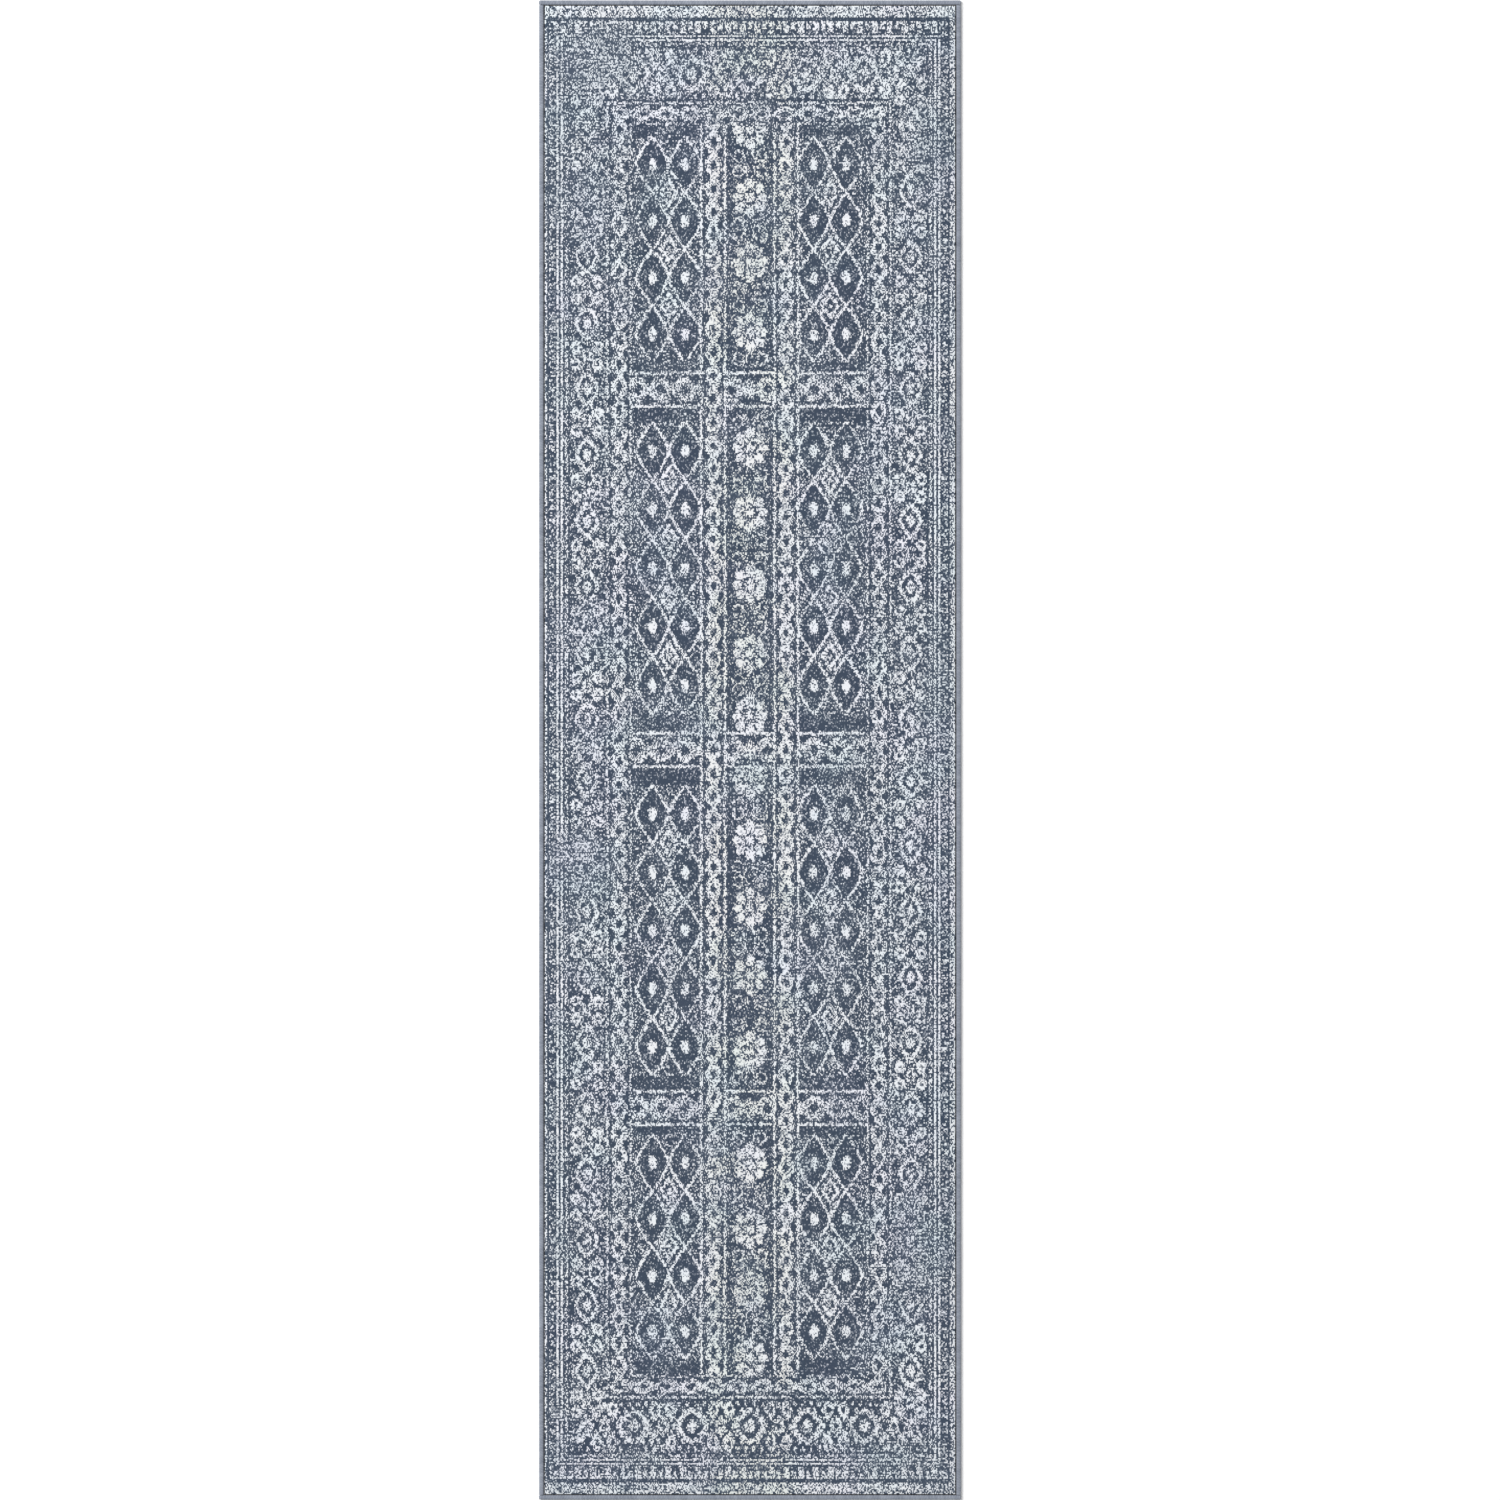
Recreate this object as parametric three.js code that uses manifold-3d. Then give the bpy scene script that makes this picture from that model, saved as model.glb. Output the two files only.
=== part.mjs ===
// Woven runner rug: a cut-pile face on a ground weave with a latex-sized back, its four edges bound
// by serging yarn wrapped round a filler cord. Millimetres, +Z up. X runs across the width and Y along
// the length. The origin is the middle of the underside, so the rug lies on the plane Z = 0.
import * as THREE from "three";
import { mergeVertices } from "three/addons/utils/BufferGeometryUtils.js";
import Module from "manifold-3d";

const wasm = await Module();
wasm.setup();

// Overall size
const rugWidth = 686;
const rugLength = 2438;

// The layers, from the floor up
const sizeThickness = 1.2;
const groundThickness = 1.6;
const pileHeight = 5.5;
const pileShear = 1.2; // bevel left round the top of the pile

// The bound edge
const sergingWidth = 8; // as seen from above
const sergingHeight = 7.2;
const sergingRounding = 3;
const wrapThickness = 1.4; // yarn outside the cord and at the ends of a run
const cordDiameter = 3;
const grooveWidth = 1.2; // open strip between the serging and the pile
const clearance = 0.3; // between pieces that only touch

const arcSteps = 6; // facets in a quarter turn
const cordSides = 16;

// Heights
const groundBottom = sizeThickness;
const pileBottom = groundBottom + groundThickness;
const cordHeight = sergingHeight / 2;

// Distances in from the edge of the rug
const cordCentre = wrapThickness + clearance + cordDiameter / 2;
const tunnelRadius = cordDiameter / 2 + clearance;
const groundEdge = cordCentre + tunnelRadius + clearance;
const sizeEdge = sergingWidth + clearance;
const pileEdge = sergingWidth + grooveWidth;

const fabric = (color, roughness) => new THREE.MeshStandardMaterial({ color, roughness, metalness: 0 });
const materials = {
  pile: fabric(0x8d97a5, 0.95),
  ground: fabric(0xa7977c, 0.95),
  latex: fabric(0xd9d5c6, 0.7),
  serging: fabric(0x8b929e, 0.85),
  cord: fabric(0xc4bdac, 0.9),
};

const rug = new THREE.Group();

function addPiece(name, geometry, material, quarterTurns = 0) {
  const mesh = new THREE.Mesh(geometry, material);
  mesh.name = name;
  mesh.rotation.z = (quarterTurns * Math.PI) / 2;
  rug.add(mesh);
}

// A flat layer that stops the same distance in from all four edges of the rug.
function layer(edge, bottom, thickness) {
  const geometry = new THREE.BoxGeometry(rugWidth - 2 * edge, rugLength - 2 * edge, thickness);
  return geometry.translate(0, 0, bottom + thickness / 2);
}

// The pile: a layer whose top edges are sheared back all round.
function pileLayer() {
  const bevel = Math.min(pileShear, pileHeight / 2);
  const width = rugWidth - 2 * pileEdge;
  const length = rugLength - 2 * pileEdge;
  const geometry = new THREE.BoxGeometry(width, length, pileHeight, 1, 1, 2);
  const place = geometry.attributes.position;
  for (let i = 0; i < place.count; i++) {
    const height = place.getZ(i);
    if (height > pileHeight / 4) {
      place.setX(i, place.getX(i) - Math.sign(place.getX(i)) * bevel);
      place.setY(i, place.getY(i) - Math.sign(place.getY(i)) * bevel);
    } else if (height > -pileHeight / 4) {
      place.setZ(i, pileHeight / 2 - bevel);
    }
  }
  return geometry.translate(0, 0, pileBottom + pileHeight / 2);
}

// The serging's outline across its run: x is outward, 0 at the edge of the rug, and y is up.
function sergingOutline() {
  const r = Math.min(sergingRounding, sergingWidth / 2, sergingHeight / 2);
  const shape = new THREE.Shape();
  shape.absarc(-r, r, r, -Math.PI / 2, 0, false);
  shape.absarc(-r, sergingHeight - r, r, 0, Math.PI / 2, false);
  shape.absarc(-sergingWidth + r, sergingHeight - r, r, Math.PI / 2, Math.PI, false);
  shape.absarc(-sergingWidth + r, r, r, Math.PI, 1.5 * Math.PI, false);
  return shape;
}

// A round bar that lies along Y where the cord lies, with x measured from the edge of the rug.
function cordBar(radius, length) {
  return new THREE.CylinderGeometry(radius, radius, length, cordSides).translate(-cordCentre, 0, cordHeight);
}

function toSolid(geometry) {
  const bare = new THREE.BufferGeometry().setAttribute("position", geometry.getAttribute("position"));
  if (geometry.index) bare.setIndex(geometry.index);
  const merged = mergeVertices(bare, 1e-3);
  const vertProperties = merged.attributes.position.array;
  const triVerts = new Uint32Array(merged.index.array);
  return new wasm.Manifold(new wasm.Mesh({ numProp: 3, vertProperties, triVerts }));
}

function toGeometry(solid) {
  const mesh = solid.getMesh();
  const geometry = new THREE.BufferGeometry();
  geometry.setAttribute("position", new THREE.BufferAttribute(new Float32Array(mesh.vertProperties), 3));
  geometry.setIndex(new THREE.BufferAttribute(new Uint32Array(mesh.triVerts), 1));
  return geometry;
}

// One run of serging along Y: a tunnel for the cord, and a slot that the ground weave's margin enters.
function sergingRun(length, tunnelLength, slotLength) {
  const outline = { depth: length, bevelEnabled: false, curveSegments: arcSteps };
  const wrapped = new THREE.ExtrudeGeometry(sergingOutline(), outline);
  wrapped.translate(0, 0, -length / 2).rotateX(Math.PI / 2);

  const slotDepth = sergingWidth - cordCentre + 1; // 1 past the inner face
  const slot = new THREE.BoxGeometry(slotDepth, slotLength, groundThickness + 2 * clearance);
  slot.translate(-cordCentre - slotDepth / 2, 0, groundBottom + groundThickness / 2);

  const tunnel = cordBar(tunnelRadius, tunnelLength);
  return toGeometry(toSolid(wrapped).subtract(toSolid(slot)).subtract(toSolid(tunnel)));
}

addPiece("latex_backing", layer(sizeEdge, 0, sizeThickness), materials.latex);
addPiece("ground_weave", layer(groundEdge, groundBottom, groundThickness), materials.ground);
addPiece("pile", pileLayer(), materials.pile);

// The side runs fit between the end runs, which span the whole width and are closed at their ends.
const sideLength = rugLength - 2 * (sergingWidth + clearance);
const sideOpening = sideLength + 2; // 1 past each end
const endTunnel = rugWidth - 2 * wrapThickness;
const endSlot = rugWidth - 2 * (groundEdge - clearance);
const sideEdge = rugWidth / 2;
const endEdge = rugLength / 2;

const runs = [
  { name: "right_side", turns: 0, edge: sideEdge, length: sideLength, tunnel: sideOpening, slot: sideOpening },
  { name: "far_end", turns: 1, edge: endEdge, length: rugWidth, tunnel: endTunnel, slot: endSlot },
  { name: "left_side", turns: 2, edge: sideEdge, length: sideLength, tunnel: sideOpening, slot: sideOpening },
  { name: "near_end", turns: 3, edge: endEdge, length: rugWidth, tunnel: endTunnel, slot: endSlot },
];

for (const { name, turns, edge, length, tunnel, slot } of runs) {
  const serging = sergingRun(length, tunnel, slot).translate(edge, 0, 0);
  addPiece(name + "_serging", serging, materials.serging, turns);

  const cordLength = Math.min(length, tunnel - 2 * clearance);
  const cord = cordBar(cordDiameter / 2, cordLength).translate(edge, 0, 0);
  addPiece(name + "_filler_cord", cord, materials.cord, turns);
}

export default rug;
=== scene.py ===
import math

import bmesh
import bpy
from mathutils import Matrix, Vector, noise


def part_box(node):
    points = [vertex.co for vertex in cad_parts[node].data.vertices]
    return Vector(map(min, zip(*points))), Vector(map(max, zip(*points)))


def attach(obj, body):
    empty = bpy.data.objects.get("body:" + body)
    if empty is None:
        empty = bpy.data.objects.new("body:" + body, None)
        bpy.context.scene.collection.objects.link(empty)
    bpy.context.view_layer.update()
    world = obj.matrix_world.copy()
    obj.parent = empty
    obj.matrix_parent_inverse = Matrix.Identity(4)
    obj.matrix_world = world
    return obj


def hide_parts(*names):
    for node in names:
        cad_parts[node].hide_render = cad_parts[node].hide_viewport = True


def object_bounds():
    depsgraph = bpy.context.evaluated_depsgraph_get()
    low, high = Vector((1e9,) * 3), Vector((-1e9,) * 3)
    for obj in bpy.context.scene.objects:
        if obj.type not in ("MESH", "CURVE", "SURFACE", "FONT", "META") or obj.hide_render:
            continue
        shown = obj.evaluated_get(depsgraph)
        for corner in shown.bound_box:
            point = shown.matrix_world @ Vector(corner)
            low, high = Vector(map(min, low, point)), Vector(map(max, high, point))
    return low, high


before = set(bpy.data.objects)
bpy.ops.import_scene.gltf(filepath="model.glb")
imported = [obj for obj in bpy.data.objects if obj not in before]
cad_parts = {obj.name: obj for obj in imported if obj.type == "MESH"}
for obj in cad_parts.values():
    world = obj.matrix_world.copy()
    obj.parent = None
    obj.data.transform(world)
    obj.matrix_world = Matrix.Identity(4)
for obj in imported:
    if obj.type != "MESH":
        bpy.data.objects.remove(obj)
cadBox = [list(corner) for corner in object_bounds()]

mm = 0.001
rugLow, rugHigh = Vector(cadBox[0]), Vector(cadBox[1])
halfWidth = rugHigh.x / mm
halfLength = rugHigh.y / mm


# Camera, floor and light

studio = {
    "cameraHeight": 14.0,  # metres
    "sensor": 36.0,
    "floorSize": 30.0,
    "floorColour": (0.98, 0.98, 0.98),
    "skyStrength": 0.55,
    "keyPower": 1800.0,
    "keySize": 8.0,
}


def setCamera():
    data = bpy.data.cameras.new("camera")
    data.sensor_width = studio["sensor"]
    data.clip_end = 100
    view = rugHigh.y - rugLow.y  # the rug fills the picture from top to bottom
    data.lens = studio["sensor"] * (studio["cameraHeight"] - rugHigh.z) / view
    camera = bpy.data.objects.new("camera", data)
    camera.location = (0, 0, studio["cameraHeight"])
    bpy.context.collection.objects.link(camera)
    bpy.context.scene.camera = camera


def setLight():
    world = bpy.data.worlds.new("soft room")
    world.use_nodes = True
    background = world.node_tree.nodes["Background"]
    background.inputs["Color"].default_value = (1, 1, 1, 1)
    background.inputs["Strength"].default_value = studio["skyStrength"]
    bpy.context.scene.world = world

    data = bpy.data.lights.new("key", "AREA")
    data.energy = studio["keyPower"]
    data.size = studio["keySize"]
    key = bpy.data.objects.new("key", data)
    key.location = (-7.0, 5.0, 11.0)
    key.rotation_euler = (Vector((0, 0, 0)) - key.location).to_track_quat("-Z", "Y").to_euler()
    bpy.context.collection.objects.link(key)
    bpy.context.scene.view_settings.view_transform = "Standard"


def layFloor():
    mesh = bpy.data.meshes.new("floor")
    bm = bmesh.new()
    bmesh.ops.create_grid(bm, x_segments=1, y_segments=1, size=studio["floorSize"] / 2)
    bmesh.ops.translate(bm, verts=bm.verts, vec=(0, 0, -0.3 * mm))
    bm.to_mesh(mesh)
    bm.free()
    floor = bpy.data.objects.new("floor", mesh)
    bpy.context.collection.objects.link(floor)
    paint = bpy.data.materials.new("pale floor")
    paint.use_nodes = True
    shader = paint.node_tree.nodes["Principled BSDF"]
    shader.inputs["Base Color"].default_value = (*studio["floorColour"], 1)
    shader.inputs["Roughness"].default_value = 0.9
    shader.inputs["Specular IOR Level"].default_value = 0.1
    mesh.materials.append(paint)


setCamera()
setLight()
layFloor()
print("camera, floor and light are set")


class Amount:
    # A number that changes over the surface. Sums on it add Math nodes to its tree.
    def __init__(self, tree, socket):
        self.tree = tree
        self.socket = socket

    def __add__(self, other):
        return combine("ADD", self, other)

    def __sub__(self, other):
        return combine("SUBTRACT", self, other)

    def __rsub__(self, other):
        return combine("SUBTRACT", other, self)

    def __mul__(self, other):
        return combine("MULTIPLY", self, other)

    def __truediv__(self, other):
        return combine("DIVIDE", self, other)

    __radd__ = __add__
    __rmul__ = __mul__


def combine(operation, *terms, clamp=False):
    tree = next(term.tree for term in terms if isinstance(term, Amount))
    node = tree.nodes.new("ShaderNodeMath")
    node.operation = operation
    node.use_clamp = clamp
    for slot, term in zip(node.inputs, terms):
        if isinstance(term, Amount):
            tree.links.new(term.socket, slot)
        else:
            slot.default_value = term
    return Amount(tree, node.outputs[0])


def size(term):
    return combine("ABSOLUTE", term)


def least(first, second):
    return combine("MINIMUM", first, second)


def most(first, second):
    return combine("MAXIMUM", first, second)


def wave(turns):
    return combine("COSINE", turns * math.tau)


def reach(across, along):  # straight distance from two parts of it
    return combine("SQRT", combine("MULTIPLY_ADD", across, across, along * along))


def fromNearest(term, pitch):  # signed distance to the nearest multiple of the pitch
    return combine("WRAP", term, pitch / 2, -pitch / 2)


def within(distance, edge, soft):  # 1 inside the edge, falling to 0 over the soft width
    return combine("MULTIPLY_ADD", distance, -1 / soft, edge / soft + 0.5, clamp=True)


def beyond(distance, edge, soft):
    return combine("MULTIPLY_ADD", distance, 1 / soft, 0.5 - edge / soft, clamp=True)


def band(term, low, high, soft):  # 1 between two places
    return within(size(term - (low + high) / 2), (high - low) / 2, soft)


def overlay(under, over, mask):
    tree = mask.tree
    node = tree.nodes.new("ShaderNodeMix")
    for slot, term in zip((node.inputs[0], node.inputs[2], node.inputs[3]), (mask, under, over)):
        if isinstance(term, Amount):
            tree.links.new(term.socket, slot)
        else:
            slot.default_value = term
    return Amount(tree, node.outputs[0])


def pack(x, y, z=0.0):
    tree = x.tree
    node = tree.nodes.new("ShaderNodeCombineXYZ")
    for slot, term in zip(node.inputs, (x, y, z)):
        if isinstance(term, Amount):
            tree.links.new(term.socket, slot)
        else:
            slot.default_value = term
    return node.outputs[0]


def cloud(tree, vector, scale, detail=2.0, roughness=0.5):  # soft noise, about 0.5 on average
    node = tree.nodes.new("ShaderNodeTexNoise")
    node.inputs["Scale"].default_value = scale
    node.inputs["Detail"].default_value = detail
    node.inputs["Roughness"].default_value = roughness
    tree.links.new(vector, node.inputs["Vector"])
    return Amount(tree, node.outputs["Fac"]), node.outputs["Color"]


def speck(tree, vector):  # a random number for each place, 0 to 1
    node = tree.nodes.new("ShaderNodeTexWhiteNoise")
    tree.links.new(vector, node.inputs["Vector"])
    return Amount(tree, node.outputs["Value"])


def specks(tree, vector):  # three random numbers for each place
    node = tree.nodes.new("ShaderNodeTexWhiteNoise")
    tree.links.new(vector, node.inputs["Vector"])
    return splitColour(tree, node.outputs["Color"])


def splitColour(tree, socket):
    node = tree.nodes.new("ShaderNodeSeparateColor")
    tree.links.new(socket, node.inputs[0])
    return [Amount(tree, output) for output in node.outputs]


def objectPlace(tree):  # the place on the piece, in millimetres
    coordinates = tree.nodes.new("ShaderNodeTexCoord")
    split = tree.nodes.new("ShaderNodeSeparateXYZ")
    tree.links.new(coordinates.outputs["Object"], split.inputs[0])
    return [Amount(tree, output) * (1 / mm) for output in split.outputs]


def toLinear(shade):  # a screen colour, 0 to 255, as the shader wants it
    parts = [c / 255 for c in shade]
    return [c / 12.92 if c < 0.04045 else ((c + 0.055) / 1.055) ** 2.4 for c in parts] + [1]


def dyeRamp(tree, level, shades):  # yarn colours in even steps of the level
    node = tree.nodes.new("ShaderNodeValToRGB")
    stops = node.color_ramp.elements
    while len(stops) < len(shades):
        stops.new(0.5)
    for i, shade in enumerate(shades):
        stops[i].position = i / (len(shades) - 1)
        stops[i].color = toLinear(shade)
    tree.links.new(level.socket, node.inputs[0])
    return node.outputs[0]


def mixColour(tree, blend, factor, under, over):
    node = tree.nodes.new("ShaderNodeMix")
    node.data_type = "RGBA"
    node.blend_type = blend
    for slot, term in zip((node.inputs[0], node.inputs[6], node.inputs[7]), (factor, under, over)):
        if isinstance(term, Amount):
            tree.links.new(term.socket, slot)
        elif isinstance(term, bpy.types.NodeSocket):
            tree.links.new(term, slot)
        else:
            slot.default_value = term
    return node.outputs[2]


def bumped(tree, height, distance, strength=1.0):
    node = tree.nodes.new("ShaderNodeBump")
    node.inputs["Strength"].default_value = strength
    node.inputs["Distance"].default_value = distance
    tree.links.new(height.socket, node.inputs["Height"])
    return node.outputs[0]


def newFinish(name, roughness, sheen=0.0, specular=0.25):
    material = bpy.data.materials.new(name)
    material.use_nodes = True
    shader = material.node_tree.nodes["Principled BSDF"]
    shader.inputs["Roughness"].default_value = roughness
    shader.inputs["Specular IOR Level"].default_value = specular
    shader.inputs["Sheen Weight"].default_value = sheen
    return material, material.node_tree, shader


# The design in the pile, in millimetres from the middle of the rug

design = {
    "knot": (1.7, 2.1),  # mm across and along
    "wander": 4.0,  # how far the lines stray from their places
    "raggedness": 2.6,  # how far each group of four knots strays
    "lean": 1.7,  # how far a tuft leans
    "leftStretch": 1.015,  # the loom packed the left half a little wider
    "nearStretch": 0.9925,  # and the near half a little closer
    # Depths from the end of the rug, each with the depth from its side where the same line runs
    "endDepths": ((0, 0), (27, 17.5), (56, 32), (75, 53), (162, 109), (206, 157)),
    "crossBand": 586.0,  # the chain band between the panels, from the middle
    "columnX": 130.0,  # middle of a diamond panel
    "columnPitch": 52.4,  # between its two columns of diamonds
    "outerPanel": (814.0, 92.0),  # middle of the panel and pitch of its diamonds
    "innerPanel": (295.5, 95.4),
    # Middles of the rosettes, from the far end to the near one
    "flowers": (
        1008, 898, 793, 679, 491, 386, 269, 157, 56,
        -46, -147, -256, -366, -490, -673, -778, -879, -989,
    ),
    "chainPitch": 38.0,  # from one eye of a chain to the next
    "medallionPitch": 107.4,  # along the sides
    "endMedallionPitch": 93.0,  # along the ends
    "keyPitch": 24.0,  # from one hook to the next
    # Inner side of each border, and the thin lines along them, all measured in from the rug's edge
    "borders": {"rim": 18.0, "keys": 31.0, "guard": 55.0, "medallions": 113.0, "innerChain": 154.0},
    "lines": {
        "outer": (18.0, 21.2),
        "guardOuter": (33.4, 36.8),
        "guardInner": (40.2, 43.6),
        "guardStripe": (47.0, 52.0),
        "dark": (107.5, 112.0),
        "frame": (113.0, 116.5),
        "inner": (150.0, 153.5),
    },
    # The light lines of the field, from the rug's middle line and from the middle of a cross band
    "flowerLine": 40.0,
    "chainLine": 78.0,
    "crossLine": 27.0,
    "sharpness": 3.1,  # how surely a knot takes the yarn that the design asks for
    "dark": 0.08,  # share of light yarn in the dark ground
    "light": 0.78,  # and in the light lines
    "yarns": ((61, 72, 88), (96, 104, 117), (136, 142, 152), (184, 188, 195), (231, 233, 236)),
}

# Places where the face is worn or washed out: x, y, half width, half length, strength.
wornPlaces = (
    (-250, 1120, 110, 70, 0.9),
    (20, 1112, 300, 44, 0.5),
    (-300, 1020, 60, 120, 0.6),
    (-270, 880, 70, 90, 0.7),
    (290, 980, 50, 140, 0.7),
    (0, 796, 26, 40, 0.6),
    (-270, -190, 70, 70, 0.8),
    (300, 60, 40, 190, 0.6),
    (280, -800, 60, 130, 0.7),
    (0, -880, 30, 55, 0.6),
    (130, -350, 60, 60, 0.6),
    (130, 330, 55, 70, 0.5),
    (230, -1150, 120, 50, 0.6),
)


def follow(term, pairs):  # straight runs from each pair of values to the next
    total = 0.0
    for (start, first), (end, last) in zip(pairs, pairs[1:]):
        share = combine("MULTIPLY_ADD", term, 1 / (end - start), -start / (end - start), clamp=True)
        total = share * (last - first) + total
    return total


def chain(across, along, halfBand):
    # A braided lattice, light, with dark eyes down its middle and half eyes along both sides.
    pitch = design["chainPitch"]
    middle = size(across) / halfBand + size(fromNearest(along, pitch)) * (2 / pitch)
    side = (halfBand - size(across)) / halfBand + size(fromNearest(along + pitch / 2, pitch)) * (2 / pitch)
    eyes = most(within(middle, 0.48, 0.12), within(side, 0.62, 0.12))
    braid = overlay(0.7, 0.06, eyes)
    return overlay(0.14, braid, within(size(across), halfBand, 1.2))


def diamondPanel(x, y):
    # Two columns of tall diamonds whose outlines cross and run on, a seed in each and lozenges between.
    outerMiddle, outerPitch = design["outerPanel"]
    innerMiddle, innerPitch = design["innerPanel"]
    isOuter = beyond(y, design["crossBand"], 1.0)
    outerRow = (y - outerMiddle) / outerPitch + 0.5
    innerRow = (y - innerMiddle) / innerPitch
    row = overlay(innerRow, outerRow, isOuter)
    span = overlay(size(innerRow), size(outerRow - 0.5) + 0.5, isOuter)
    inLattice = within(span, 2.5, 0.03)

    halfPitch = design["columnPitch"] / 2
    fromMiddle = size(x - design["columnX"])
    fromColumn = size(fromMiddle - halfPitch)
    rise = size(fromNearest(row, 1.0))
    outline = (wave(rise * 0.5) * 0.5 + (0.5 - rise)) * halfPitch
    line = within(size(fromColumn - outline), 2.3, 1.2) * inLattice
    seed = within(reach(fromColumn / 6.6, rise * 8.6), 1.0, 0.3)

    toLozenge = 0.5 - rise
    lozenge = fromMiddle / 12.5 + toLozenge * 4.8
    ring = within(size(lozenge - 1.0), 0.24, 0.15) * within(span, 2.2, 0.03)
    between = beyond(fromColumn - outline, 2.0, 3.0) * inLattice

    tone = overlay(design["dark"], 0.2, between)
    tone = overlay(tone, 0.8, most(line, ring))
    tone = overlay(tone, 0.5, within(lozenge, 0.4, 0.2) * inLattice)
    return overlay(tone, 0.92, seed * inLattice)


def flowerColumn(x, y):
    # Rosettes one above another with scrolls and paired stems between them.
    flowers = design["flowers"]
    nearest = y - flowers[0]
    for above, here in zip(flowers, flowers[1:]):
        nearest = overlay(nearest, y - here, within(y, (above + here) / 2, 0.01))
    along = size(nearest)
    angle = combine("ARCTAN2", nearest, x)
    lobes = wave(angle * (8 / math.tau))
    away = reach(x / 26.0, along / 30.0) - lobes * 0.08
    petals = within(away, 1.0, 0.12)
    slits = within(lobes, -0.75, 0.3) * beyond(away, 0.55, 0.1)
    ring = within(size(away - 0.36), 0.11, 0.08)
    scroll = within(size(reach((size(x) - 19.0) / 8.0, (along - 43.0) / 9.0) - 1.0), 0.25, 0.2)
    stems = within(size(size(x) - 6.0 - (along - 42.0) * 0.25), 1.6, 1.2) * band(along, 32.0, 56.0, 3.0)
    tone = overlay(0.12, 0.52, most(scroll, stems))
    tone = overlay(tone, 0.86, petals)
    return overlay(tone, 0.18, most(ring, slits * petals))


def medallionBorder(across, along, isEnd):
    # Diamond medallions in a row, small ringed flowers in pairs between them, and stems that cross.
    pitch = design["medallionPitch"]
    step = size(fromNearest(along, pitch))
    side = size(across)
    diamond = reach(side / 17.0, step / 25.0) * 0.5 + (side / 17.0 + step / 25.0) * 0.45
    outline = within(size(diamond - 0.95), 0.16, 0.1)
    heart = within(diamond, 0.42, 0.1)
    small = reach((side - 17.5) / 9.0, (step - pitch * 0.37) / 9.5)
    bud = within(small, 1.0, 0.2) * beyond(small, 0.36, 0.15)
    stem = within(size(side - (step - 18.0) * 0.62), 1.5, 1.2) * beyond(step, 18.0, 3.0)
    leaf = within(reach((side - 4.5) / 3.2, (step - pitch * 0.45) / 6.0), 1.0, 0.3)
    blossom = beyond(wave(across / 16.0) * wave(along / 15.3), 0.2, 0.3)
    tone = overlay(overlay(0.13, 0.1, isEnd), overlay(0.3, 0.64, isEnd), blossom)
    tone = overlay(tone, 0.66, most(stem, leaf))
    tone = overlay(tone, 0.12, within(diamond, 1.0, 0.1))
    return overlay(tone, 0.78, most(most(outline, heart), bud))


def keyBorder(across, along, isEnd):
    # Dark hooks standing on a dark line, on light ground, each with its end turned back down.
    step = fromNearest(along, design["keyPitch"])
    post = band(step, -8.0, -4.5, 1.0) * band(across, 20.0, 30.5, 1.0)
    arm = band(step, -8.0, 6.5, 1.0) * band(across, 27.8, 30.5, 1.0)
    tip = band(step, 3.0, 6.5, 1.0) * band(across, 23.2, 30.5, 1.0)
    return overlay(overlay(0.4, 0.66, isEnd), 0.02, most(post, most(arm, tip)))


def fieldTone(x, y, u, v):
    # Diamond panels, long chains beside the flower column, and cross bands that the long chains run over.
    tone = diamondPanel(u, v)
    tone = overlay(tone, chain(u - 58.5, v, 12.5), within(u, 79.0, 0.6))
    tone = overlay(tone, flowerColumn(x, y), within(u, 39.0, 0.6))

    crossing = least(size(v - design["crossBand"]), v)
    isOpen = most(beyond(u, 77.0, 0.6), within(u, 40.0, 0.6))
    crossChain = chain(crossing, u + 9.5, 20.0) * 0.85
    tone = overlay(tone, crossChain, within(crossing, 26.0, 0.6) * isOpen)

    besideFlowers = within(size(u - design["flowerLine"]), 1.8, 1.0)
    besideChain = within(size(u - design["chainLine"]), 1.8, 1.0)
    besideCrossing = within(size(crossing - design["crossLine"]), 2.4, 1.0) * isOpen
    return overlay(tone, design["light"], most(most(besideFlowers, besideChain), besideCrossing))


def guardStripes(inset, along):
    # Two rows of light stitches and a paler stripe, on dark ground.
    lines = design["lines"]
    stitches = within(size(fromNearest(along, 5.2)), 2.0, 0.8)
    rows = most(band(inset, *lines["guardInner"], 0.8), band(inset, *lines["guardOuter"], 0.8))
    tone = overlay(0.08, 0.42, band(inset, *lines["guardStripe"], 1.0))
    return overlay(tone, 0.95, rows * (stitches * 0.5 + 0.5))


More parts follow.
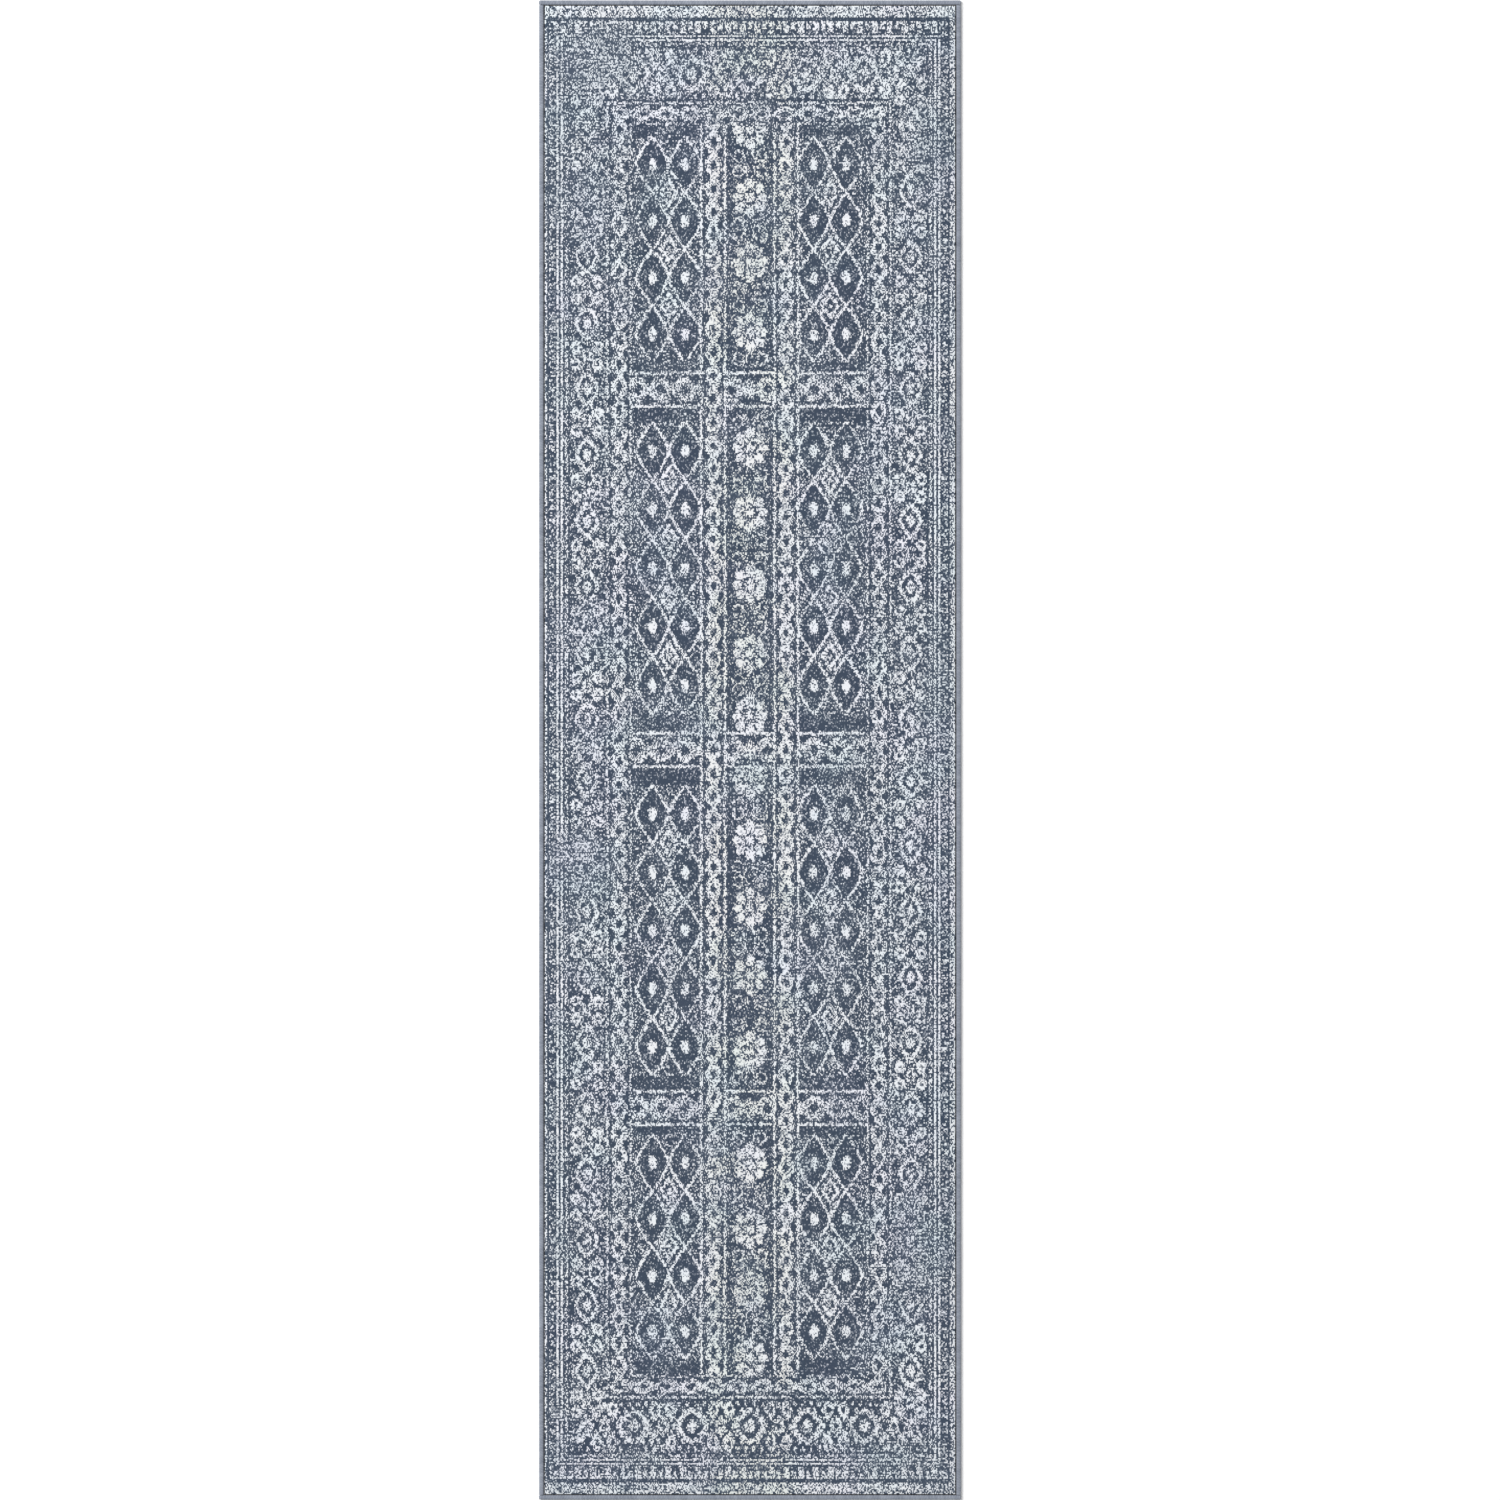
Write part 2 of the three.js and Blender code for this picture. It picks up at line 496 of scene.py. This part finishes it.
def pileTone(x, y):
    # The share of light yarn that the design asks for at a place, in mm from the middle of the rug.
    borders, lines = design["borders"], design["lines"]
    u = most(x, x * (-1 / design["leftStretch"]))
    v = most(y, y * (-1 / design["nearStretch"]))
    fromSide = halfWidth - u
    fromEnd = follow(halfLength - size(y), design["endDepths"])
    inset = least(fromSide, fromEnd)
    isEnd = beyond(fromSide - fromEnd, 0.0, 0.5)
    isNearEnd = isEnd * beyond(y * -1, 0.0, 1.0)
    along = overlay(v, u, isEnd)
    tone = fieldTone(x, y, u, v)

    # The borders, from the field outwards, each laid over what is inside it
    innerChain = chain(inset - 133.5, along + 19.0, 13.0) * 0.88
    tone = overlay(tone, innerChain, within(inset, borders["innerChain"], 0.6))
    tone = overlay(tone, 0.5, band(inset, *lines["inner"], 1.0))

    pitch, endPitch = design["medallionPitch"], design["endMedallionPitch"]
    endAlong = fromNearest(u, endPitch) * (pitch / endPitch)
    main = medallionBorder(inset - 82.0, overlay(v - 50.0, endAlong, isEnd), isEnd)
    main = overlay(main, main * 1.15 - 0.14, isNearEnd)  # the near end has kept more colour
    tone = overlay(tone, main, within(inset, borders["medallions"], 0.6))
    tone = overlay(tone, 0.6, band(inset, *lines["frame"], 1.0))
    tone = overlay(tone, overlay(0.25, design["dark"], isEnd), band(inset, *lines["dark"], 1.0))

    tone = overlay(tone, guardStripes(inset, along), within(inset, borders["guard"], 0.8))
    tone = overlay(tone, keyBorder(inset, along, isEnd), within(inset, borders["keys"], 0.8))
    tone = overlay(tone, 0.0, band(inset, *lines["outer"], 0.8))
    rim = overlay(0.5, overlay(0.72, 0.58, isEnd), within(inset, 12.5 + isEnd * 4.0, 1.0))
    return overlay(tone, rim, within(inset, borders["rim"], 0.8))


def wearAt(tree, place, atX, atY):
    # Broad fading, streaks along the weft, and the worn places
    fade = cloud(tree, place, 9.0, 3.0, 0.6)[0]
    streak = cloud(tree, pack(atX * 0.001, atY * 0.006), 14.0, 2.0)[0]
    worn = combine("MULTIPLY_ADD", fade + streak * 0.5, 3.2, -2.15, clamp=True) * 0.7
    ragged = (fade - 0.5) * 1.6
    for placeX, placeY, wide, long, strength in wornPlaces:
        away = reach((atX - placeX) / wide, (atY - placeY) / long) + ragged
        worn = most(worn, within(away, 0.8, 0.6) * strength)
    return worn


def knotColour(tree, atX, atY, knotColumn, knotRow):
    place = pack(atX * 0.001, atY * 0.001)
    stray = splitColour(tree, cloud(tree, place, 60.0, 2.0, 0.6)[1])
    group = specks(tree, pack(combine("FLOOR", knotColumn / 2), combine("FLOOR", knotRow / 2)))
    fromRim = most(size(atX) - halfWidth, size(atY) - halfLength)
    loose = overlay(1.0, 0.3, beyond(fromRim, -65.0, 8.0))  # the narrow stripes near the edge run straighter
    shiftX = (stray[0] - 0.5) * design["wander"] + (group[0] - 0.5) * design["raggedness"]
    shiftY = (stray[1] - 0.5) * design["wander"] + (group[1] - 0.5) * design["raggedness"]
    patternX = atX + shiftX * loose
    patternY = atY + shiftY * loose
    tone = pileTone(patternX, patternY)
    worn = wearAt(tree, place, atX, atY)
    flecks = cloud(tree, place, 80.0, 2.0, 0.6)[0]
    tone = tone + (flecks - 0.5) * 0.2
    streaks = cloud(tree, pack(atX * 0.001, atY * 0.02), 16.0, 1.0)[0]
    faded = overlay(tone, streaks * 1.1 - 0.2, worn * 0.85)
    broad = cloud(tree, place, 5.0, 2.0)[0]
    faded = faded + (broad - 0.5) * 0.16

    # Each knot takes a yarn by chance, around what the design asks for there
    chance = speck(tree, pack(knotColumn, knotRow))
    level = combine("MULTIPLY_ADD", faded - chance, design["sharpness"], 0.5, clamp=True)
    level = overlay(level, 0.5, worn * 0.2)
    colour = dyeRamp(tree, level, design["yarns"])

    # Washed colour: teal in the worn places, cream in the middle, and a drift between teal and lilac
    hues = splitColour(tree, cloud(tree, place, 11.0, 2.0)[1])
    colour = mixColour(tree, "MULTIPLY", combine("MULTIPLY", worn, 0.8), colour, (0.95, 1.0, 1.02, 1))
    colour = mixColour(tree, "MULTIPLY", beyond(hues[0], 0.56, 0.2), colour, (0.95, 1.0, 1.0, 1))
    colour = mixColour(tree, "MULTIPLY", beyond(hues[1], 0.56, 0.2), colour, (1.0, 0.98, 1.02, 1))
    cream = beyond(hues[2], 0.48, 0.15) * within(size(atX), 70.0, 30.0) * beyond(level, 0.6, 0.3)
    return mixColour(tree, "MULTIPLY", cream, colour, (1.0, 0.99, 0.93, 1)), chance


def pileFinish():
    material, tree, shader = newFinish("shorn pile", 0.92, sheen=0.05, specular=0.1)
    x, y, z = objectPlace(tree)
    # Tufts lean every way, so that their cut ends don't meet in straight lines
    lean = splitColour(tree, cloud(tree, pack(x * 0.001, y * 0.001), 380.0, 1.0)[1])
    x = x + (lean[0] - 0.5) * design["lean"]
    y = y + (lean[1] - 0.5) * design["lean"]
    knotX, knotY = design["knot"]
    knotColumn = combine("FLOOR", x / knotX)
    knotRow = combine("FLOOR", y / knotY)
    atX = (knotColumn + 0.5) * knotX
    atY = (knotRow + 0.5) * knotY
    colour, chance = knotColour(tree, atX, atY, knotColumn, knotRow)

    # The nap: rounded tufts of fibres, with painted shade in the gaps between them and painted shade growing
    # down the cut edge of the pile
    inX = size(fromNearest(x - knotX / 2, knotX)) / knotX
    inY = size(fromNearest(y - knotY / 2, knotY)) / knotY
    tuft = 1.0 - reach(inX, inY) * 1.1
    fibres = cloud(tree, pack(x * 0.001, y * 0.001, z * 0.0002), 2200.0, 2.0)[0]
    low, high = (corner.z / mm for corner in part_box("pile"))
    depth = (high - z) / (high - low)
    # painted shade: the gaps between tufts and the lower part of the pile's cut edge are darkened towards
    # dark blue-grey
    shade = most(within(tuft, 0.42, 0.36) * 0.3, beyond(depth, 0.63, 0.75) * 0.6)
    shade = combine("MULTIPLY_ADD", fibres, -0.5, shade + 0.25, clamp=True)
    colour = mixColour(tree, "MULTIPLY", shade, colour, (0.2, 0.22, 0.27, 1))
    height = tuft + chance * 0.5 + fibres * 0.4
    tree.links.new(colour, shader.inputs["Base Color"])
    tree.links.new(bumped(tree, height, 0.5 * mm, 0.6), shader.inputs["Normal"])
    return material


def newPiece(name, bm, finish, node):
    mesh = bpy.data.meshes.new(name)
    bmesh.ops.scale(bm, verts=bm.verts, vec=(mm, mm, mm))
    bm.normal_update()
    bm.to_mesh(mesh)
    bm.free()
    mesh.materials.append(finish)
    mesh.shade_smooth()
    piece = bpy.data.objects.new(name, mesh)
    bpy.context.collection.objects.link(piece)
    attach(piece, "root")
    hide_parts(node)
    return piece


# The three flat layers. Points lie close together round the edge, on the rings, and evenly inside.

pileShape = {
    "columns": 150,
    "rows": 540,
    "rings": (0.0, 0.5, 1.6),  # mm in from the edge, where the outermost points lie
    "edgeRound": 1.6,  # radius of the upper edge
    "swell": 0.35,  # height of the broad rise and fall of the face
    "nap": 0.10,  # and of its fine roughness
}

groundShape = {"columns": 60, "rows": 240, "rings": (0.0, 1.5, 3.0, 4.5, 6.0), "relief": 0.12}

backShape = {"columns": 70, "rows": 1200, "rings": (0.0, 0.6), "rib": 0.14, "relief": 0.10}


def layerMesh(node, shape, dropAt, facesUp=True):
    # One detailed face, walls and a flat far side. dropAt says how far the detailed face lies inside its box.
    low, high = (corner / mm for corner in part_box(node))
    half = (high.x, high.y)
    steps = (2 * half[0] / shape["columns"], 2 * half[1] / shape["rows"])
    bm = bmesh.new()
    bmesh.ops.create_grid(bm, x_segments=shape["columns"], y_segments=shape["rows"], size=1.0)
    rings = shape["rings"]
    face, back, inward = (high.z, low.z, -1) if facesUp else (low.z, high.z, 1)

    for vert in bm.verts:
        place, gaps = [], []
        for share, reachOut, step in zip(vert.co.xy, half, steps):
            ring = round((1 - abs(share)) * reachOut / step)
            gap = rings[ring] if ring < len(rings) else (1 - abs(share)) * reachOut
            place.append(math.copysign(reachOut - gap, share))
            gaps.append(gap)
        vert.co = (*place, face + inward * dropAt(*place, min(gaps)))

    rim = [edge for edge in bm.edges if edge.is_boundary]
    for share in (0.45, 1.0):
        made = bmesh.ops.extrude_edge_only(bm, edges=rim)["geom"]
        rim = [part for part in made if isinstance(part, bmesh.types.BMEdge)]
        for vert in (part for part in made if isinstance(part, bmesh.types.BMVert)):
            vert.co.z = face + (back - face) * share
    bmesh.ops.holes_fill(bm, edges=rim, sides=0)
    bmesh.ops.recalc_face_normals(bm, faces=bm.faces)
    layOutHalves(bm, half, face)
    return bm


def layOutHalves(bm, half, face):
    # The map that finishes are baked on: the layer's two halves side by side, walls folded outwards.
    margin = 8.0
    side = 4 * half[0] + 4 * margin
    layer = bm.loops.layers.uv.new("OFBake")
    for part in bm.faces:
        isFar = len(part.verts) > 4
        isWall = abs(part.normal.z) < 0.3
        isEndWall = abs(part.normal.y) > abs(part.normal.x)
        isUpperHalf = part.calc_center_median().y > 0
        for loop in part.loops:
            x, y, z = loop.vert.co
            if isFar:
                x, y = x * 0.004, y * 0.004 - margin / 2
            elif isWall and isEndWall:
                y += math.copysign(abs(z - face), y)
            elif isWall:
                x += math.copysign(abs(z - face), x)
            if isFar or isUpperHalf:
                loop[layer].uv = ((x + half[0] + margin) / side, (y + margin) / side)
            else:
                loop[layer].uv = ((x + 3 * half[0] + 3 * margin) / side, (y + half[1] + margin) / side)


def makePile():
    edgeRound = pileShape["edgeRound"]

    def drop(x, y, fromEdge):
        lip = max(0.0, 1 - fromEdge / edgeRound)
        swell = 1 - noise.noise(Vector((x / 180, y / 180, 3)))
        nap = 1 - noise.noise(Vector((x / 3.1, y / 3.1, 9)))
        fall = edgeRound * (1 - math.sqrt(1 - lip * lip))
        return fall + pileShape["swell"] * swell / 2 + pileShape["nap"] * nap

    piece = newPiece("shorn_pile", layerMesh("pile", pileShape, drop), pileFinish(), "pile")
    return piece


def weave(tree, x, y, pitchX, pitchY):
    # Height of a plain weave: each yarn is round and goes over one, under one.
    stepX, stepY = x / pitchX, y / pitchY
    checker = wave((combine("FLOOR", stepX) + combine("FLOOR", stepY)) * 0.5)
    overX = 1.0 - size(fromNearest(stepX - 0.5, 1.0)) * 2
    overY = 1.0 - size(fromNearest(stepY - 0.5, 1.0)) * 2
    return overlay(overX, overY, combine("MULTIPLY_ADD", checker, 0.5, 0.5))


def groundFinish():
    material, tree, shader = newFinish("ground weave", 0.9, sheen=0.1)
    x, y, z = objectPlace(tree)
    height = weave(tree, x, y, 1.6, 1.4)
    slub = cloud(tree, pack(x * 0.02, y * 0.3), 3.0)[0]
    # painted shade: the yarn is darker where the weave dips and lighter on its crowns; the slubs are the
    # yarn's own tone
    level = combine("MULTIPLY_ADD", height, 0.5, slub * 0.6 - 0.1, clamp=True)
    colour = dyeRamp(tree, level, ((52, 50, 48), (104, 98, 88), (146, 136, 118)))
    tree.links.new(colour, shader.inputs["Base Color"])
    tree.links.new(bumped(tree, height, 0.3 * mm, 0.8), shader.inputs["Normal"])
    return material


def makeGround():
    def drop(x, y, fromEdge):
        return groundShape["relief"] * (1 - noise.noise(Vector((x / 9, y / 9, 1)))) / 2

    bm = layerMesh("ground_weave", groundShape, drop)
    piece = newPiece("woven_ground", bm, groundFinish(), "ground_weave")
    return piece


def ribPitch():  # one rib on every second row of points
    low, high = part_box("latex_backing")
    return 2 * (high.y - low.y) / mm / backShape["rows"]


def backFinish():
    # Jute wefts showing as ribs through a thin, uneven film of latex.
    material, tree, shader = newFinish("latex back", 0.62, sheen=0.0, specular=0.35)
    x, y, z = objectPlace(tree)
    rib = wave(y / ribPitch()) * 0.5 + 0.5
    warp = size(fromNearest(x / 3.2, 1.0)) * 2
    film = cloud(tree, pack(x * 0.001, y * 0.001), 22.0, 4.0, 0.6)[0]
    fibre = cloud(tree, pack(x * 0.05, y * 0.6), 4.0, 3.0)[0]
    level = combine("MULTIPLY_ADD", rib, 0.28, film * 0.7 + fibre * 0.35 - warp * 0.12 - 0.18, clamp=True)
    colour = dyeRamp(tree, level, ((140, 120, 90), (176, 158, 126), (205, 192, 165), (226, 218, 200)))
    tree.links.new(colour, shader.inputs["Base Color"])
    height = rib * 0.6 + warp * 0.35 + fibre * 0.3
    tree.links.new(bumped(tree, height, 0.35 * mm, 0.7), shader.inputs["Normal"])
    return material


def makeBack():
    pitch = ribPitch()

    def rise(x, y, fromEdge):
        rib = 0.5 - 0.5 * math.cos(math.tau * y / pitch)
        dent = 1 - noise.noise(Vector((x / 14, y / 14, 5)))
        return backShape["rib"] * rib + backShape["relief"] * dent / 2

    bm = layerMesh("latex_backing", backShape, rise, facesUp=False)
    piece = newPiece("latex_back", bm, backFinish(), "latex_backing")
    return piece


pile = makePile()
print("pile made:", len(pile.data.polygons), "faces")
ground = makeGround()
back = makeBack()
print("ground weave and latex back made")


# Serged edges: yarn wrapped round a cord

serging = {
    "turnPitch": 2.6,  # mm from one turn of the yarn to the next
    "pointsPerTurn": 4,
    "outerSteps": 15,  # faces round the outside of the section
    "squareness": 0.75,  # 1 is an ellipse, less is squarer
    "ridge": 0.42,  # how far a turn stands out from its neighbours
    "lean": 2.4,  # how far a turn runs along the edge as it crosses it
    "endRound": 3.0,  # how far from its tip an end run starts to close in
    "closedEnd": 1.4,  # and where it is shut
    "gap": 0.3,  # free space round the cord and the ground weave
}

edgeCord = {
    "diameter": 3.0,
    "inFromEdge": 3.2,  # from the rug's edge to the middle of the cord
    "lay": 11.0,  # length of one full twist
    "pointsAround": 12,
    "stepsPerLay": 10,
    "lobe": 0.2,  # how deep the grooves between the strands are
}

edges = (  # name, quarter turns from the right-hand side, whether its ends are closed
    ("right_side", 0, False),
    ("far_end", 1, True),
    ("left_side", 2, False),
    ("near_end", 3, True),
)


def alongRun(node, turns):
    # Half length, distance of the outer edge and height of a straight run, in mm, as it lies at turns = 0.
    low, high = (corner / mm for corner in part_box(node))
    if turns % 2:
        return high.x, max(abs(low.y), abs(high.y)), high.z
    return high.y, max(abs(low.x), abs(high.x)), high.z


def sergingSection(width, height):
    # Points round a C: over the outside from the upper lip to the lower one, then back round the cord.
    groundLow, groundHigh = (corner.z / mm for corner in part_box("ground_weave"))
    slotLow, slotHigh = groundLow - serging["gap"], groundHigh + serging["gap"]
    middle, power = height / 2, serging["squareness"]

    def lipAngle(z):
        share = (z - middle) / middle
        return math.asin(math.copysign(abs(share) ** (1 / power), share))

    first, last = math.pi - lipAngle(slotHigh), -math.pi - lipAngle(slotLow)
    outside = []
    for i in range(serging["outerSteps"] + 1):
        angle = first + (last - first) * i / serging["outerSteps"]
        across = math.copysign(abs(math.cos(angle)) ** power, math.cos(angle))
        up = math.copysign(abs(math.sin(angle)) ** power, math.sin(angle))
        outside.append((width / 2 * (across - 1), middle * (1 + up)))

    tunnel = edgeCord["diameter"] / 2 + serging["gap"]
    inside = [(-edgeCord["inFromEdge"], slotLow)]
    for angle in (-50, 0, 50, 100, 150, 196):
        turn = math.radians(angle)
        inside.append((-edgeCord["inFromEdge"] + tunnel * math.cos(turn), middle + tunnel * math.sin(turn)))
    return outside, inside


def sergingFinish():
    material, tree, shader = newFinish("serging yarn", 0.8, sheen=0.12, specular=0.2)
    node = tree.nodes.new("ShaderNodeUVMap")
    node.uv_map = "yarn"
    split = tree.nodes.new("ShaderNodeSeparateXYZ")
    tree.links.new(node.outputs[0], split.inputs[0])
    around, turns = (Amount(tree, output) for output in list(split.outputs)[:2])
    ridge = size(wave(turns * 0.5))
    ply = wave(around * 14.0 + turns * 2.0) * 0.5 + 0.5
    x, y, z = objectPlace(tree)
    mottle = cloud(tree, pack(x * 0.001, y * 0.001, z * 0.001), 60.0, 3.0)[0]
    turnShade = speck(tree, pack(combine("FLOOR", turns + 0.5), 0.0))
    # painted shade: the yarn is darker in the grooves between turns and plies and lighter on their crests;
    # the mottle and the tone of each turn are the yarn's own
    level = ridge * 0.35 + ply * 0.18 + mottle * 0.5 + turnShade * 0.22
    level = combine("SUBTRACT", level, 0.12, clamp=True)
    colour = dyeRamp(tree, level, ((78, 84, 97), (116, 123, 136), (140, 146, 158), (160, 167, 178)))
    tree.links.new(colour, shader.inputs["Base Color"])
    tree.links.new(bumped(tree, ply * 0.5 + ridge, 0.25 * mm, 0.6), shader.inputs["Normal"])
    return material


def makeSerging(name, turns, closed, finish):
    half, edge, height = alongRun(name + "_serging", turns)
    low, high = (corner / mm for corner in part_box(name + "_serging"))
    width = (high.y - low.y) if turns % 2 else (high.x - low.x)
    outside, inside = sergingSection(width, height)
    section = outside + inside
    around = len(section)

    bands = max(1, round(math.sqrt(2 * half / 30)))  # strips that the baked map is cut into
    turnsPerBand = round(2 * half / serging["turnPitch"] / bands)
    steps = bands * turnsPerBand * serging["pointsPerTurn"]

    bm = bmesh.new()
    uvLayer = bm.loops.layers.uv.new("yarn")
    bakeLayer = bm.loops.layers.uv.new("OFBake")
    bmesh.ops.create_grid(bm, x_segments=around, y_segments=steps, size=1.0, calc_uvs=True)
    for face in bm.faces:
        strip = int((face.calc_center_median().y + 1) / 2 * bands)
        for loop in face.loops:
            share = (loop.vert.co.y + 1) / 2 * bands - strip
            circle = (loop.vert.co.x + 1) / 2
            loop[uvLayer].uv = (circle, (loop.vert.co.y + 1) / 2 * steps / serging["pointsPerTurn"])
            loop[bakeLayer].uv = (0.005 + 0.99 * share, (strip + 0.04 + 0.9 * circle) / bands * 0.97)

    middleUp = (outside[0][1] + outside[-1][1]) / 2
    for vert in bm.verts:
        column = round((vert.co.x + 1) / 2 * around) % around
        step = round((vert.co.y + 1) / 2 * steps)
        across, up = section[column]
        along = (2 * step / steps - 1) * half
        fromTip = half - abs(along)
        if column < len(outside):
            ridge = serging["ridge"] * (1 - abs(math.cos(math.pi * step / serging["pointsPerTurn"])))
            centre = Vector((-width / 2, height / 2))
            point = Vector((across, up))
            point += (centre - point).normalized() * ridge
            across, up = point
        if closed and fromTip < serging["closedEnd"]:
            if column in (0, len(outside) - 1) or column >= len(outside):
                across, up = -width + 0.3, middleUp
        if closed and fromTip < serging["endRound"]:
            tip = 1 - fromTip / serging["endRound"]
            shrink = 1 - 0.45 * (1 - math.sqrt(1 - tip * tip))
            across = -width / 2 + (across + width / 2) * shrink
            up = height / 2 + (up - height / 2) * shrink
        lean = serging["lean"] * (across / width + 0.5) * min(1.0, fromTip / 8.0)
        vert.co = (edge + across, along + lean, up)

    bmesh.ops.remove_doubles(bm, verts=bm.verts, dist=1e-3)
    bmesh.ops.holes_fill(bm, edges=[e for e in bm.edges if e.is_boundary], sides=0)
    bmesh.ops.recalc_face_normals(bm, faces=bm.faces)
    bmesh.ops.rotate(bm, verts=bm.verts, cent=(0, 0, 0), matrix=Matrix.Rotation(turns * math.pi / 2, 3, "Z"))
    return newPiece(name + "_wrapped_yarn", bm, finish, name + "_serging")


def cordFinish():
    material, tree, shader = newFinish("filler cord", 0.9, sheen=0.2)
    x, y, z = objectPlace(tree)
    fibre = cloud(tree, pack(x * 0.001, y * 0.001, z * 0.001), 900.0, 3.0)[0]
    colour = dyeRamp(tree, fibre, ((150, 140, 118), (196, 188, 168), (222, 216, 200)))
    tree.links.new(colour, shader.inputs["Base Color"])
    tree.links.new(bumped(tree, fibre, 0.15 * mm, 0.6), shader.inputs["Normal"])
    return material


def makeCord(name, turns, finish):
    # Three strands laid up into one cord.
    half, edge, top = alongRun(name + "_filler_cord", turns)
    radius = edgeCord["diameter"] / 2
    around = edgeCord["pointsAround"]
    steps = round(2 * half / edgeCord["lay"] * edgeCord["stepsPerLay"])
    bm = bmesh.new()
    bmesh.ops.create_grid(bm, x_segments=around, y_segments=steps, size=1.0)
    for vert in bm.verts:
        own = (vert.co.x + 1) * math.pi
        along = vert.co.y * half
        angle = own + math.tau * along / edgeCord["lay"]
        out = radius * (1 - edgeCord["lobe"] * (1 - abs(math.cos(1.5 * own))))
        vert.co = (edge - radius + out * math.cos(angle), along, top - radius + out * math.sin(angle))
    bmesh.ops.remove_doubles(bm, verts=bm.verts, dist=1e-3)
    bmesh.ops.holes_fill(bm, edges=[e for e in bm.edges if e.is_boundary], sides=0)
    bmesh.ops.recalc_face_normals(bm, faces=bm.faces)
    bmesh.ops.rotate(bm, verts=bm.verts, cent=(0, 0, 0), matrix=Matrix.Rotation(turns * math.pi / 2, 3, "Z"))
    return newPiece(name + "_laid_cord", bm, finish, name + "_filler_cord")


sergingYarn = sergingFinish()
cordYarn = cordFinish()
for name, turns, closed in edges:
    wrapped = makeSerging(name, turns, closed, sergingYarn)
    cord = makeCord(name, turns, cordYarn)
    print(name, "serged:", len(wrapped.data.polygons), "faces, cord", len(cord.data.polygons))
